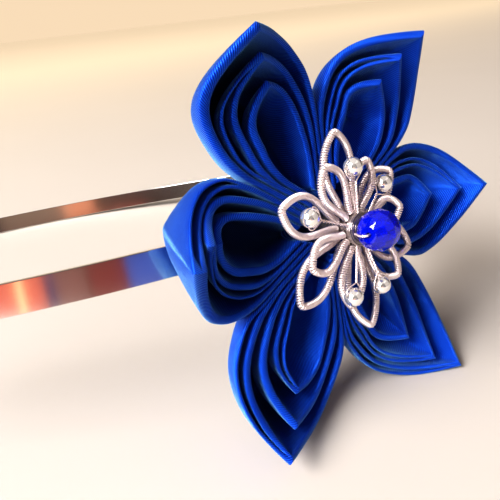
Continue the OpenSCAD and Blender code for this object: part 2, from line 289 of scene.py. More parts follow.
class HeadbandSizes(PropertyGroup):
    """Sizes that scene work may change without touching the CAD"""

    lip: in_mm("Lip", "How far a folded edge is rounded up", 0.7, 0.2, 0.8)
    blunt: in_mm("Blunt end", "How far a fold's end is rounded below its rim", 1.0, 0.1, 1.5)
    ripple: in_mm("Ripple", "Soft unevenness of the folded cloth", 0.12, 0.0, 0.4)
    coil_pitch: in_mm("Coil pitch", "Distance between the wraps of a coil", 0.42, 0.3, 0.8)
    coil_wire: in_mm("Coil wire", "Thickness of the wire that a coil is wound from", 0.36, 0.2, 0.5)
    edge_round: in_mm("Strip edge", "Rounding of the steel strip's edges", 0.16, 0.05, 0.3)


def tint(name, description, default):
    return FloatVectorProperty(
        name=name, description=description, subtype="COLOR", size=3, min=0, max=1, default=default,
    )


class HeadbandColours(PropertyGroup):
    """Colours of the finishes, in linear light"""

    ribbon: tint("Ribbon", "Royal blue of the satin", (0.0005, 0.005, 0.25))
    ribbon_line: tint("Twill line", "Lighter blue of the raised twill lines", (0.014, 0.11, 0.61))
    steel: tint("Steel", "Polished steel of the strip", (0.80, 0.78, 0.76))
    wire: tint("Wire", "Silvery wire of the coils and stems", (0.92, 0.81, 0.79))
    bead: tint("Small beads", "Polished silver of the small beads", (0.92, 0.90, 0.88))
    glass: tint("Glass", "Cobalt of the glass bead", (0.003, 0.02, 1.0))
    felt: tint("Felt", "Dark blue of the felt backing", (0.006, 0.014, 0.09))
    # The near floor's colour is darker than the far floor's: painted shade near the camera
    floor: tint("Floor", "Pale grey cream of the floor", (0.405, 0.372, 0.345))
    backdrop: tint("Backdrop", "Warmer cream of the far floor", (0.80, 0.69, 0.53))


def sizes():
    return bpy.context.scene.headband_sizes


def colours():
    return bpy.context.scene.headband_colours


# Finishes


def new_finish(name):
    """A material with a Principled shader, and its node tree"""
    finish = bpy.data.materials.new(name)
    finish.use_nodes = True
    tree = finish.node_tree
    shader = next(n for n in tree.nodes if n.type == "BSDF_PRINCIPLED")
    return finish, tree, shader


def feed(socket, value):
    """Gives an input its value, or links it where the value is an output"""
    if isinstance(value, bpy.types.NodeSocket):
        socket.id_data.links.new(value, socket)
    else:
        socket.default_value = value


def set_inputs(node, *values, **named):
    """Feeds the first inputs in their order, and others by their names"""
    for socket, value in zip(node.inputs, values):
        feed(socket, value)
    for name, value in named.items():
        feed(node.inputs[name.replace("_", " ")], value)


def add_node(tree, kind, *inputs, **settings):
    node = tree.nodes.new(kind)
    for name, value in settings.items():
        setattr(node, name, value)
    set_inputs(node, *inputs)
    return node


def rgba(colour, share=1.0):
    return tuple(min(1.0, c * share) for c in colour) + (1.0,)


def object_noise(tree, scale, detail):
    """Noise on Object coordinates; the scale counts per metre"""
    place = add_node(tree, "ShaderNodeTexCoord")
    grain = add_node(tree, "ShaderNodeTexNoise")
    set_inputs(grain, Vector=place.outputs["Object"], Scale=scale, Detail=detail)
    return grain.outputs["Fac"]


def cloth_bands(tree, place, scale, distortion):
    """Diagonal bands on the cloth's map"""
    bands = add_node(tree, "ShaderNodeTexWave", wave_type="BANDS", bands_direction="DIAGONAL")
    set_inputs(bands, Vector=place, Scale=scale, Distortion=distortion, Detail=1.0)
    return bands.outputs["Fac"]


def map_range(tree, source, low, high):
    """Spreads a value from 0 to 1 between two others"""
    ranged = add_node(tree, "ShaderNodeMapRange")
    set_inputs(ranged, Value=source, To_Min=low, To_Max=high)
    return ranged.outputs["Result"]


def soft_step(tree, source, start, end):
    """0 up to the start, 1 from the end, and soft between them"""
    ranged = add_node(tree, "ShaderNodeMapRange", interpolation_type="SMOOTHSTEP")
    set_inputs(ranged, Value=source, From_Min=start, From_Max=end)
    return ranged.outputs["Result"]


def one_axis(tree, source, axis):
    """One of the three numbers of a vector"""
    return add_node(tree, "ShaderNodeSeparateXYZ", source).outputs[axis]


def mix_colours(tree, factor, one, two):
    mixed = add_node(tree, "ShaderNodeMix", factor, data_type="RGBA")
    for name, value in (("A", one), ("B", two)):
        feed(next(s for s in mixed.inputs if s.name == name and s.type == "RGBA"), value)
    return next(s for s in mixed.outputs if s.type == "RGBA")


def add_bump(tree, shader, height, distance, strength, *under):
    """Bump on a shader, over another bump if one is given"""
    bump = add_node(tree, "ShaderNodeBump")
    set_inputs(bump, Strength=strength, Distance=distance, Height=height)
    for normal in under:
        set_inputs(bump, Normal=normal)
    set_inputs(shader, Normal=bump.outputs["Normal"])
    return bump.outputs["Normal"]


# Painted shade in the hollows of the folds, mixed into the satin's colour: its strength in the
# outer, middle and inner fold, and in each petal, as the light reaches into some of them. The
# painted shade is darkest this far down, and keeps this share of the ribbon's blue.
PAINTED_FOLD_SHADE = (0.35, 0.45, 1.0)
PAINTED_PETAL_SHADE = (0.6, 0.25, 0.15, 0.2, 0.4, 1.0)
PAINTED_SHADE_DEPTH = 6.0
PAINTED_SHADE_SHARE = 0.15
# How much of the weave is the threads across the twill
THREAD_SHARE = 0.35


def satin_finish():
    """Satin with a fine twill line, on the cloth's own map in millimetres, and painted shade down
    the hollows of its folds
    """
    finish, tree, shader = new_finish("satin ribbon")
    cloth = add_node(tree, "ShaderNodeUVMap", uv_map="cloth").outputs["UV"]
    twill = cloth_bands(tree, cloth, 1.35, 0.3)
    turn = add_node(tree, "ShaderNodeMapping", cloth)
    set_inputs(turn, Rotation=(0, 0, math.radians(90)))
    thread = cloth_bands(tree, turn.outputs["Vector"], 1.9, 0.5)
    both = add_node(tree, "ShaderNodeMath", thread, THREAD_SHARE, twill, operation="MULTIPLY_ADD")
    weave = both.outputs["Value"]
    tone = object_noise(tree, 260.0, 2.0)
    lines = map_range(tree, weave, -0.2, 0.95)
    clouds = map_range(tree, tone, -0.35, 0.25)
    total = add_node(tree, "ShaderNodeMath", lines, clouds, operation="ADD", use_clamp=True)
    c = colours()
    colour = mix_colours(tree, total.outputs["Value"], rgba(c.ribbon), rgba(c.ribbon_line))
    # Painted shade: the colour darkens down the narrow hollows of the folds, where hardly any light
    # comes back out
    hollow = add_node(tree, "ShaderNodeUVMap", uv_map="hollow")
    shade = soft_step(tree, one_axis(tree, hollow.outputs["UV"], "X"), 0.0, PAINTED_SHADE_DEPTH)
    set_inputs(
        shader,
        Base_Color=mix_colours(tree, shade, colour, rgba(c.ribbon, PAINTED_SHADE_SHARE)),
        Roughness=map_range(tree, weave, 0.48, 0.3),
        Metallic=0.42,
        Specular_IOR_Level=0.6,
        Specular_Tint=(0.2, 0.65, 1.0, 1.0),
        Sheen_Weight=0.7,
        Sheen_Roughness=0.3,
        Sheen_Tint=(0.35, 0.74, 1.0, 1.0),
    )
    soft = add_bump(tree, shader, tone, 0.0002, 0.25)
    add_bump(tree, shader, weave, 0.00006, 0.9, soft)
    return finish


def metal_finish(name, colour, rough_low, rough_high, grain_scale, metallic=1.0):
    """Metal whose gloss varies a little from place to place"""
    finish, tree, shader = new_finish(name)
    grain = object_noise(tree, grain_scale, 4.0)
    set_inputs(
        shader,
        Base_Color=mix_colours(tree, grain, rgba(colour, 0.9), rgba(colour, 1.05)),
        Roughness=map_range(tree, grain, rough_low, rough_high),
        Metallic=metallic,
    )
    return finish


def glass_finish():
    """Cobalt glass with faint swirls inside its colour"""
    finish, tree, shader = new_finish("cobalt glass")
    swirl = object_noise(tree, 500.0, 3.0)
    glass = colours().glass
    set_inputs(
        shader,
        Base_Color=mix_colours(tree, swirl, rgba(glass, 0.3), rgba(glass, 0.85)),
        Roughness=0.02,
        IOR=1.54,
        Transmission_Weight=0.6,
        Coat_Weight=0.5,
        Coat_Roughness=0.02,
    )
    return finish


def felt_finish():
    """Matted felt: short fibres lying every way"""
    finish, tree, shader = new_finish("blue felt")
    fuzz = object_noise(tree, 2600.0, 6.0)
    blotch = object_noise(tree, 300.0, 2.0)
    felt = colours().felt
    near = mix_colours(tree, fuzz, rgba(felt, 0.6), rgba(felt, 1.9))
    set_inputs(
        shader,
        Base_Color=mix_colours(tree, blotch, near, rgba(felt, 1.2)),
        Roughness=0.95,
        Sheen_Weight=0.4,
        Sheen_Tint=(0.3, 0.4, 0.9, 1.0),
    )
    add_bump(tree, shader, fuzz, 0.0003, 0.9)
    return finish


def floor_finish():
    """Pale cream paper, a little mottled, and warmer further away; near the camera it is greyer and
    darker, as painted shade
    """
    finish, tree, shader = new_finish("cream paper")
    mottle = object_noise(tree, 9.0, 3.0)
    place = add_node(tree, "ShaderNodeTexCoord")
    away = soft_step(tree, one_axis(tree, place.outputs["Object"], "Y"), -0.1, 1.2)
    c = colours()
    # Painted shade: the near floor is greyer and darker than the far cream
    near = mix_colours(tree, mottle, rgba(c.floor, 0.97), rgba(c.floor, 1.03))
    far = rgba(c.backdrop)
    set_inputs(shader, Base_Color=mix_colours(tree, away, near, far), Roughness=0.7)
    return finish


# Helpers for modelling


def object_mode():
    bpy.ops.object.mode_set(mode="OBJECT")


def deselect_all():
    active = bpy.context.view_layer.objects.active
    if active and active.mode != "OBJECT":
        object_mode()
    bpy.ops.object.select_all(action="DESELECT")


def pick(*pieces):
    deselect_all()
    for piece in pieces:
        piece.select_set(True)
    bpy.context.view_layer.objects.active = pieces[0]


def primitive(add, **values):
    """The piece that one of Blender's operators adds"""
    deselect_all()
    add(**values)
    return bpy.context.object


def edit(piece, kind="VERT"):
    """Enters edit mode on a piece, with nothing selected"""
    pick(piece)
    bpy.ops.object.mode_set(mode="EDIT")
    bpy.ops.mesh.select_mode(type=kind)
    bpy.ops.mesh.select_all(action="DESELECT")


def select_where(piece, verts=None, edges=None):
    """Selects by a test on places; called in edit mode, and stays there"""
    object_mode()
    mesh = piece.data
    for part in (mesh.vertices, mesh.edges, mesh.polygons):
        part.foreach_set("select", [False] * len(part))
    if verts:
        mesh.vertices.foreach_set("select", [bool(verts(v.co)) for v in mesh.vertices])
    if edges:
        for edge in mesh.edges:
            a, b = (mesh.vertices[end].co for end in edge.vertices)
            edge.select = bool(edges(a, b))
    bpy.ops.object.mode_set(mode="EDIT")


def face_outwards():
    """Turns all faces outwards in edit mode, and leaves it"""
    bpy.ops.mesh.select_all(action="SELECT")
    bpy.ops.mesh.normals_make_consistent(inside=False)
    object_mode()


def soften(piece, width, segments, degrees):
    """Bevels the edges that are sharper than an angle, and applies all"""
    bevel = piece.modifiers.new("soften", "BEVEL")
    bevel.width = width * MM
    bevel.segments = segments
    bevel.limit_method = "ANGLE"
    bevel.angle_limit = math.radians(degrees)
    apply_all(piece)


def apply_all(piece):
    pick(piece)
    for name in [m.name for m in piece.modifiers]:
        bpy.ops.object.modifier_apply(modifier=name)


def put(piece, place):
    """Puts a piece in its place in its mesh, and leaves the object at the origin"""
    piece.data.transform(place @ piece.matrix_world)
    piece.matrix_world = Matrix.Identity(4)
    piece.data.update()


def smooth_by_angle(piece, degrees):
    pick(piece)
    bpy.ops.object.shade_smooth_by_angle(angle=math.radians(degrees))


def finish_piece(piece, name, finish, slot, *nodes):
    piece.name = name
    piece.data.name = name
    piece.data.materials.clear()
    piece.data.materials.append(finish)
    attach(piece, "root")
    if nodes:
        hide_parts(*nodes)


def mesh_piece(name, points, faces):
    mesh = bpy.data.meshes.new(name)
    mesh.from_pydata([tuple(p) for p in points], [], faces)
    piece = bpy.data.objects.new(name, mesh)
    bpy.context.scene.collection.objects.link(piece)
    return piece


# Folded petals


def side_half(i, side):
    """Angle from a petal's middle to the line between it and a neighbour"""
    petal = PETALS[i]
    if side < 0:
        return petal.angle - petal.next_line
    whole_turn = 0 if i else 360
    return PETALS[i - 1].next_line + whole_turn - petal.angle


def soft_min(a, b, k):
    h = np.maximum(k - np.abs(a - b), 0) / k
    return np.minimum(a, b) - h * h * k / 4


def tip_radius(i, f):
    tip = TIPS[i][f // 2]
    return PETAL_R + PETALS[i].longer - FACES[f].shorter + tip.longer - (f % 2) * tip.thicker


def opening(i, f, side, u):
    """How far a slot is open at radius u, from 0 to 1"""
    opens = np.clip((u - SLOTS[i, f // 2, side].opens) / SLOT_FADE, 0, 1)
    return opens * np.clip((tip_radius(i, f) - u) / SLOT_TIP_FADE, 0, 1)


def past_wide(i, f, u):
    """How far radius u is on the way from the widest place to the tip"""
    return np.maximum(u - WIDE_AT, 0) / (tip_radius(i, f) - WIDE_AT)


def bend(i, f, u):
    """How much of its lean aside a fold has at radius u"""
    return (np.maximum(0, u - BEND_FROM) / (tip_radius(i, f) - BEND_FROM)) ** 2


def rim_half(i, f, side, u):
    """Distance of a face's rim from the fold's middle line at radius u"""
    place = (i, f // 2, side)
    petal, face = PETALS[i], FACES[f]
    full = PETAL_HALF * (petal.left if side > 0 else petal.right) - face.narrower
    leaf = full * (1 - past_wide(i, f, u) ** SHOULDERS.get(place, SHOULDER))
    border = u * math.tan(math.radians(side_half(i, side))) - face.border
    border = border - side * TIPS[i][f // 2].aside * bend(i, f, u)
    edge = soft_min(border, leaf, CORNER_BLEND)
    if place in SLOTS:
        room = -SLOTS[place].inwards if f % 2 else SLOTS[place].outwards
        edge = edge + room * opening(i, f, side, u)
    return np.maximum(0, np.minimum(border, edge))


def rim_height(i, f, u):
    """Height of a face's rim over the hub at radius u"""
    tip = FACES[f].tip_height + PETALS[i].higher
    dip = RIM_DIP * np.maximum(0, WIDE_AT - u) / WIDE_AT
    return RIM_H - dip + (tip - RIM_H) * past_wide(i, f, u) ** TIP_RISE


def belly_swell(i, f, side, u, t):
    """How far an outer wall bulges at radius u, most at half its height"""
    belly = BELLIES.get((i, side), 0) if f < 2 else 0
    swell = belly * np.sin(np.pi * t**1.6) * np.clip((u - BELLY_FROM) / BELLY_GROWS, 0, 1)
    return swell * np.clip((tip_radius(i, f) - u) / BELLY_ENDS, 0, 1) ** 0.7


def face_points(i, f, side, s, t):
    """A face's points: s from base to tip down, t from keel to rim across"""
    s = s[:, None]
    start, tip = FACES[f].start, tip_radius(i, f)
    u_rim = start + (tip - start) * s
    u_keel = start + (tip * HEEL - start) * s
    low = PETAL_BACK - HUB + FACES[f].lift
    up = (1 - np.cos(np.radians(90 * t))) ** LATE_RISE
    half = np.where(s >= 1, 0, rim_half(i, f, side, u_rim))
    across = np.sin(np.radians(90 * t)) ** SOON_WIDE
    spine = PETALS[i].spine
    lean = spine + (TIPS[i][f // 2].aside - spine) * up
    aside = side * (half * across + belly_swell(i, f, side, u_rim, t))
    return np.stack(
        [
            u_keel + (u_rim - u_keel) * np.sqrt(up),
            aside + lean * bend(i, f, u_rim),
            low + (rim_height(i, f, u_rim) - low) * up,
        ],
        axis=-1,
    )


def unit(v):
    return v / np.maximum(np.linalg.norm(v, axis=-1, keepdims=True), 1e-9)


def arch(start, across, up, height, angles):
    """Columns over half an ellipse that stands on the step across"""
    return [
        start + across * (1 - math.cos(a)) / 2 + up * height * math.sin(a) for a in angles
    ]


def blunt_end(points, rise):
    """Rounds a face's end, the more the further it is below the rim"""
    back = sizes().blunt * (1 - (rise / rise[-1]) ** 3)
    gap = points[-1:, :, 0] - points[..., 0]
    near = np.clip(1 - gap / np.maximum(2 * back, 0.001), 0, 1)
    points[..., 0] -= back * near**2
    return points


def parted_rim(i, fold, side, s, rims, open_now):
    """Columns over two layers that have an arch each and a slot between them"""
    a, b, up, lip = rims
    across = b - a
    width = np.linalg.norm(across, axis=-1, keepdims=True)
    slot = SLOTS[i, fold, side]
    left = np.minimum(slot.ply / width, OUTER_PLY_MOST)
    right = np.minimum(slot.inner_ply / width, INNER_PLY_MOST)
    full = np.linspace(0, math.pi, ARCH_COLUMNS)
    down = np.clip(open_now * 2, 0, 1) * np.linspace(0, 1, SLOT_DEPTHS)
    depths = FACE_TOP * (1 - SLOT_DEPTH * down)
    low_a = face_points(i, 2 * fold, side, s, depths)
    low_b = face_points(i, 2 * fold + 1, side, s, depths)
    near, far = (
        [low_a[:, k] + (low_b[:, k] - low_a[:, k]) * share for k in range(SLOT_DEPTHS)]
        for share in (left, 1 - right)
    )
    return (
        arch(a, across * left, up, lip * OUTER_LIP, full)
        + near[1:]
        + [(near[-1] + far[-1]) / 2]
        + far[:0:-1]
        + arch(b - across * right, across * right, up, lip * INNER_LIP, full)
    )


def fold_side(i, fold, side, s):
    """One side of a fold, from the outer keel over the rim to the inner keel

    Where the fold is whole its rim is one round arch. Where its layers are
    parted each has an arch of its own, with a deep slot between them.
    """
    rise = FACE_TOP * np.linspace(0, 1, FACE_COLUMNS + 1)
    outer = blunt_end(face_points(i, 2 * fold, side, s, rise), rise)
    inner = blunt_end(face_points(i, 2 * fold + 1, side, s, rise), rise)
    a, b = outer[:, -1], inner[:, -1]
    across = b - a
    width = np.linalg.norm(across, axis=-1, keepdims=True)
    up = unit(outer[:, -1] - outer[:, -3] + inner[:, -1] - inner[:, -3])
    up = unit(up - unit(across) * np.sum(up * unit(across), axis=-1, keepdims=True))
    lip = np.minimum(sizes().lip, 0.45 * width)
    quarter = np.linspace(0, math.pi / 2, ARCH_COLUMNS)
    rim = (
        arch(a, across, up, lip, quarter)
        + [a + across / 2 + up * lip] * SLOT_COLUMNS
        + arch(a, across, up, lip, quarter + math.pi / 2)
    )
    if (i, fold, side) in SLOTS:
        open_now = opening(i, 2 * fold, side, a[:, :1])
        parted = parted_rim(i, fold, side, s, (a, b, up, lip), open_now)
        share = np.clip(open_now * PARTS_SOON, 0, 1)
        share = share * share * (3 - 2 * share)
        rim = [whole + (apart - whole) * share for whole, apart in zip(rim, parted)]
    up_outer = [outer[:, k] for k in range(FACE_COLUMNS)]
    down_inner = [inner[:, k] for k in reversed(range(FACE_COLUMNS))]
    columns = np.stack(up_outer + rim + down_inner, axis=1)
    step = np.linalg.norm(np.diff(columns, axis=1, prepend=columns[:, :1]), axis=-1)
    run = np.cumsum(step, axis=1)
    # Distance from the rim's top, or from its layer's edge at a slot
    run[:, :SLOT_FLOOR] -= run[:, FIRST_RIM : FIRST_RIM + 1]
    run[:, SLOT_FLOOR:] -= run[:, SECOND_RIM : SECOND_RIM + 1]
    top = columns[:, FIRST_RIM]
    along = np.cumsum(np.linalg.norm(np.diff(top, axis=0, prepend=top[:1]), axis=-1))
    return columns, run, along


def rippled(points, fade, seed):
    """Soft unevenness of folded cloth, in waves of some 6 mm"""
    wave = sizes().ripple
    for n, p in enumerate(points):
        if fade[n] > 0:
            x, y, z = p
            aside = noise.noise(Vector((x * 0.16 + seed, y * 0.16, z * 0.2)))
            lift = noise.noise(Vector((x * 0.2, y * 0.12 + seed, 3.1)))
            points[n, 1] += wave * fade[n] * aside
            points[n, 2] += wave * fade[n] * lift
    return points


def fold_mesh(i, fold):
    """Points, faces, cloth map in millimetres and the map of painted shade of a fold"""
    v = np.linspace(0, 1, FOLD_ROWS)
    s = 1 - (1 - v) ** TIP_CROWDING
    # No ripple near the base, where the folds meet, and none at the tip
    calm = np.clip((s - 0.25) / 0.2, 0, 1) * np.clip((1 - s) / 0.1, 0, 1)
    points, quads, cloth, hollow = [], [], [], []
    for side in (1, -1):
        grid, run, along = fold_side(i, fold, side, s)
        rows, cols = run.shape
        # Painted shade: how far past the rim down the inner face a point lies, weighted by the
        # fold's and the petal's painted shade, and none on the outer half of a side
        painted_shade_depth = PAINTED_FOLD_SHADE[fold] * PAINTED_PETAL_SHADE[i] * np.clip(run, 0, None)
        painted_shade_depth[:, : cols // 2] = 0
        base = len(points) * rows * cols
        seed = 7.3 * (i * len(FOLDS) + fold)
        points.append(rippled(grid.reshape(-1, 3).copy(), np.repeat(calm, cols), seed))
        for r in range(rows - 1):
            for k in range(cols - 1):
                corners = ((r, k), (r, k + 1), (r + 1, k + 1), (r + 1, k))
                quads.append(tuple(base + row * cols + col for row, col in corners))
                seam = [run[corner] for corner in corners]
                if k + 1 == SLOT_FLOOR:
                    seam[1:3] = seam[0], seam[3]
                cloth.extend((side * u, along[row]) for u, (row, _) in zip(seam, corners))
                hollow.extend((painted_shade_depth[corner], 0.0) for corner in corners)
        # The base is closed between the outer and the inner face
        for k in range(cols // 2):
            corners = (k, k + 1, cols - 2 - k, cols - 1 - k)
            quads.append(tuple(base + c for c in corners))
            cloth.extend((side * run[0, c], 0.0) for c in corners)
            hollow.extend([(0.0, 0.0)] * 4)
    return np.concatenate(points) * MM, quads, {"cloth": cloth, "hollow": hollow}


def make_fold(i, fold, finish):
    """A closed fold of ribbon"""
    node = f"petal_{i + 1}_{FOLDS[fold]}"
    points, quads, maps = fold_mesh(i, fold)
    piece = mesh_piece(f"{node}_fold", points, quads)
    for name, places in maps.items():
        layer = piece.data.uv_layers.new(name=name)
        layer.data.foreach_set("uv", np.array(places).ravel())
    piece.data.transform(FLOWER @ turned(PETALS[i].angle, "Z"))
    edit(piece)
    bpy.ops.mesh.select_all(action="SELECT")
    bpy.ops.mesh.remove_doubles(threshold=0.000004)
    bpy.ops.mesh.dissolve_degenerate(threshold=0.000002)
    face_outwards()
    smooth_by_angle(piece, 60)
    finish_piece(piece, piece.name, finish, "satin_ribbon", node)


# Wires


def guide(name, path):
    """A curve through the points, for modifiers to follow"""
    curve = bpy.data.curves.new(name, "CURVE")
    curve.dimensions = "3D"
    curve.twist_mode = "Z_UP"
    line = curve.splines.new("POLY")
    line.points.add(len(path) - 1)
    for point, place in zip(line.points, path):
        point.co = (*place, 1.0)
    piece = bpy.data.objects.new(name, curve)
    bpy.context.scene.collection.objects.link(piece)
    return piece


def path_length(path):
    return float(np.linalg.norm(np.diff(np.array(path), axis=0), axis=1).sum())


def smooth_path(path, passes):
    p = np.array(path, float)
    for _ in range(passes):
        p[1:-1] = p[1:-1] * 0.5 + (p[:-2] + p[2:]) * 0.25
    return p


def wind(path, angles, out, wire_radius, pitch, steps=8, sides=6):
    """Wire wound along a path: a strand for each angle, so far out from it"""
    strands = []
    for angle in angles:
        strand = primitive(bpy.ops.mesh.primitive_circle_add, vertices=sides, radius=wire_radius)
        strand.data.transform(Matrix.Translation((0, out, 0)))
        strand.data.transform(turned(angle, "X"))
        strands.append(strand)
    pick(*strands)
    if len(strands) > 1:
        bpy.ops.object.join()
    coil = bpy.context.object
    length = path_length(path)
    turns = max(1, int(length / pitch))
    screw = coil.modifiers.new("winding", "SCREW")
    screw.axis = "X"
    screw.angle = math.tau
    screw.screw_offset = length / turns
    screw.iterations = turns
    screw.steps = screw.render_steps = steps
    screw.use_smooth_shade = True
    line = guide("guide", path)
    along = coil.modifiers.new("along", "CURVE")
    along.object = line
    along.deform_axis = "POS_X"
    apply_all(coil)
    bpy.data.objects.remove(line)
    edit(coil)
    bpy.ops.mesh.select_non_manifold(extend=False, use_boundary=True)
    bpy.ops.mesh.edge_face_add()
    face_outwards()
    return coil


def drawn_wire(path, radius, sides=8):
    """A smooth round wire along a path, closed at both ends"""
    line = guide("wire", path)
    line.data.bevel_depth = radius
    line.data.bevel_resolution = sides // 2 - 2
    line.data.use_fill_caps = True
    pick(line)
    bpy.ops.object.convert(target="MESH")
    wire = bpy.context.object
    edit(wire)
    bpy.ops.mesh.select_all(action="SELECT")
    bpy.ops.mesh.remove_doubles(threshold=0.000001)
    face_outwards()
    smooth_by_angle(wire, 50)
    return wire


def loop_path(loop):
    """The middle line of a loop, out along one side and back along the other"""
    s = np.linspace(0, 1, LOOP_STEPS)
    peak = LOOP_FULLNESS / (1 + LOOP_FULLNESS)
    leaf = s**LOOP_FULLNESS * (1 - s) / (peak**LOOP_FULLNESS * (1 - peak))
    x = LOOP_START + (loop.tip_radius + LOOP_POINT - LOOP_START) * s
    y = LOOP_FOOT * (1 - s) + loop.half_width * leaf
    z = loop.base_height + (loop.tip_height - loop.base_height) * s * s
    out = np.stack([x, y, z], axis=-1)
    back = np.stack([x, -y, z], axis=-1)[::-1][1:]
    return smooth_path(np.concatenate([out, back]), 2) * MM


def make_loop(i, finish):
    """A pointed loop of coiled wire"""
    wire_r = sizes().coil_wire / 2 * MM
    path = loop_path(LOOPS[i])
    coil = wind(path, (0,), COIL_R * MM - wire_r, wire_r, sizes().coil_pitch * MM)
    put(coil, FLOWER @ turned(LOOPS[i].angle, "Z"))
    smooth_by_angle(coil, 80)
    finish_piece(coil, f"coiled_loop_{i + 1}", finish, "coiled_wire", f"wire_loop_{i + 1}")


def at_bead(i):
    bead = BEADS[i]
    place = Matrix.Translation((bead.radius * MM, 0, bead.height * MM))
    return FLOWER @ turned(bead.angle, "Z") @ place


def make_small_bead(i, finish):
    """A round bead with a bore whose edges are softly rounded"""
    sphere = bpy.ops.mesh.primitive_uv_sphere_add
    bead = primitive(sphere, segments=28, ring_count=18, radius=BEAD_R * MM)
    edit(bead)
    select_where(bead, verts=lambda p: math.hypot(p.x, p.y) < BEAD_HOLE_R * MM * 0.8)
    bpy.ops.mesh.delete(type="VERT")
    bpy.ops.mesh.select_non_manifold(extend=False)
    bpy.ops.mesh.bridge_edge_loops()
    face_outwards()
    soften(bead, 0.12, 2, 40)
    put(bead, at_bead(i) @ turned(90, "X"))
    smooth_by_angle(bead, 50)
    finish_piece(bead, f"small_bead_{i + 1}", finish, "silver_bead", f"silver_bead_{i + 1}")


def make_stem(i, finish):
    """Two strands twisted together up to the bead, then through it"""
    start = Vector((POST_R + 0.1 - BEADS[i].radius, 0, STEM_H - BEADS[i].height))
    end = Vector((-2.6, 0, 0))
    path = [start.lerp(end, k / 12) * MM for k in range(13)]
    wire_r = STEM_WIRE_R * MM
    stem = wind(path, (0, 180), wire_r, wire_r, STEM_TWIST * MM, steps=12, sides=8)
    # Half of the eye that the wire makes round the bead and through it
    half = [
        (-2.65, 0.13, 0), (-2.35, 0.4, 0), (-1.8, 1.3, 0), (-1.0, 1.98, 0),
        (-0.4, 2.03, 0), (-0.06, 1.75, 0), (0, 1.3, 0), (0, 0.4, 0),
    ]
    eye = half + [(x, -y, z) for x, y, z in reversed(half)]
    wire = drawn_wire(smooth_path(np.array(eye).repeat(3, axis=0), 5) * MM, wire_r)
    pick(stem, wire)
    bpy.ops.object.join()
    put(stem, at_bead(i))
    smooth_by_angle(stem, 60)
    finish_piece(stem, f"twisted_stem_{i + 1}", finish, "thin_wire", f"bead_stem_{i + 1}")


def at_glass():
    return FLOWER @ Matrix.Translation((0, 0, GLASS_H * MM)) @ turned(GLASS_TILT, "Y")


def facet_mesh(rings):
    """Rows of flat facets between rings of points, each set half a facet on"""
    points, faces = [], []
    for n, (radius, height) in enumerate(rings):
        for k in range(GLASS_FACETS):
            a = math.tau * (k + 0.5 * (n % 2)) / GLASS_FACETS
            points.append((radius * math.cos(a) * MM, radius * math.sin(a) * MM, height * MM))
    for n in range(len(rings) - 1):
        for k in range(GLASS_FACETS):
            after, before = (k + 1) % GLASS_FACETS, (k - 1) % GLASS_FACETS
            row, above = n * GLASS_FACETS, (n + 1) * GLASS_FACETS
            a, b, c = row + k, row + after, above + k
            if n % 2 == 0:
                faces += [(a, c, b), (a, above + before, c)]
            else:
                faces += [(a, c, above + after), (a, above + after, b)]
    return points, faces


def make_glass_bead(finish):
    """A faceted bead: its rings of radius and height, mirrored, and a bore"""
    rings = [
        (1.5, 0.93 * GLASS_R),
        (0.78 * GLASS_R, 0.64 * GLASS_R),
        (0.98 * GLASS_R, 0.24 * GLASS_R),
    ]
    rings += [(radius, -height) for radius, height in reversed(rings)]
    bead = mesh_piece("facets", *facet_mesh(rings))
    edit(bead, "EDGE")
    bpy.ops.mesh.select_non_manifold(extend=False)
    bpy.ops.mesh.extrude_edges_move()
    object_mode()
    bore = GLASS_HOLE_R * MM
    for v in bead.data.vertices:
        if v.select:
            flat = math.hypot(v.co.x, v.co.y)
            v.co.x *= bore / flat
            v.co.y *= bore / flat

    def on_rim(a, b):
        out = max(math.hypot(a.x, a.y), math.hypot(b.x, b.y))
        return out < bore * 1.05 and abs(a.z - b.z) < 1e-6

    edit(bead, "EDGE")
    select_where(bead, edges=on_rim)
    bpy.ops.mesh.bridge_edge_loops()
    face_outwards()
    soften(bead, 0.06, 1, 8)
    put(bead, at_glass() @ turned(90, "Y"))
    finish_piece(bead, "faceted_glass_bead", finish, "blue_glass", "glass_bead")


def make_glass_wire(finish):
    """The wire that holds the glass bead down, from its foot through the bore"""
    sink = GLASS_R * math.sin(math.radians(GLASS_TILT))
    foot = POST_TOP + 0.3 + sink + 0.1 - GLASS_H
    half = [
        (-GLASS_R * 0.73, foot), (-GLASS_R * 0.85, foot + 0.7), (-GLASS_R - 0.22, -1.6),
        (-GLASS_R - 0.3, -0.6), (-GLASS_R - 0.12, -0.05), (-GLASS_R * 0.8, 0),
    ]
    path = [(x, 0, z) for x, z in half] + [(-x, 0, z) for x, z in reversed(half)]
    fine = []
    for a, b in zip(path[:-1], path[1:]):
        fine += [tuple(np.array(a) + (np.array(b) - np.array(a)) * k / 4) for k in range(4)]
    fine.append(path[-1])
    wire = drawn_wire(smooth_path(fine, 4) * MM, TIE_WIRE_R * MM, 10)
    put(wire, at_glass())
    finish_piece(wire, "glass_bead_tie", finish, "thin_wire", "glass_bead_wire")


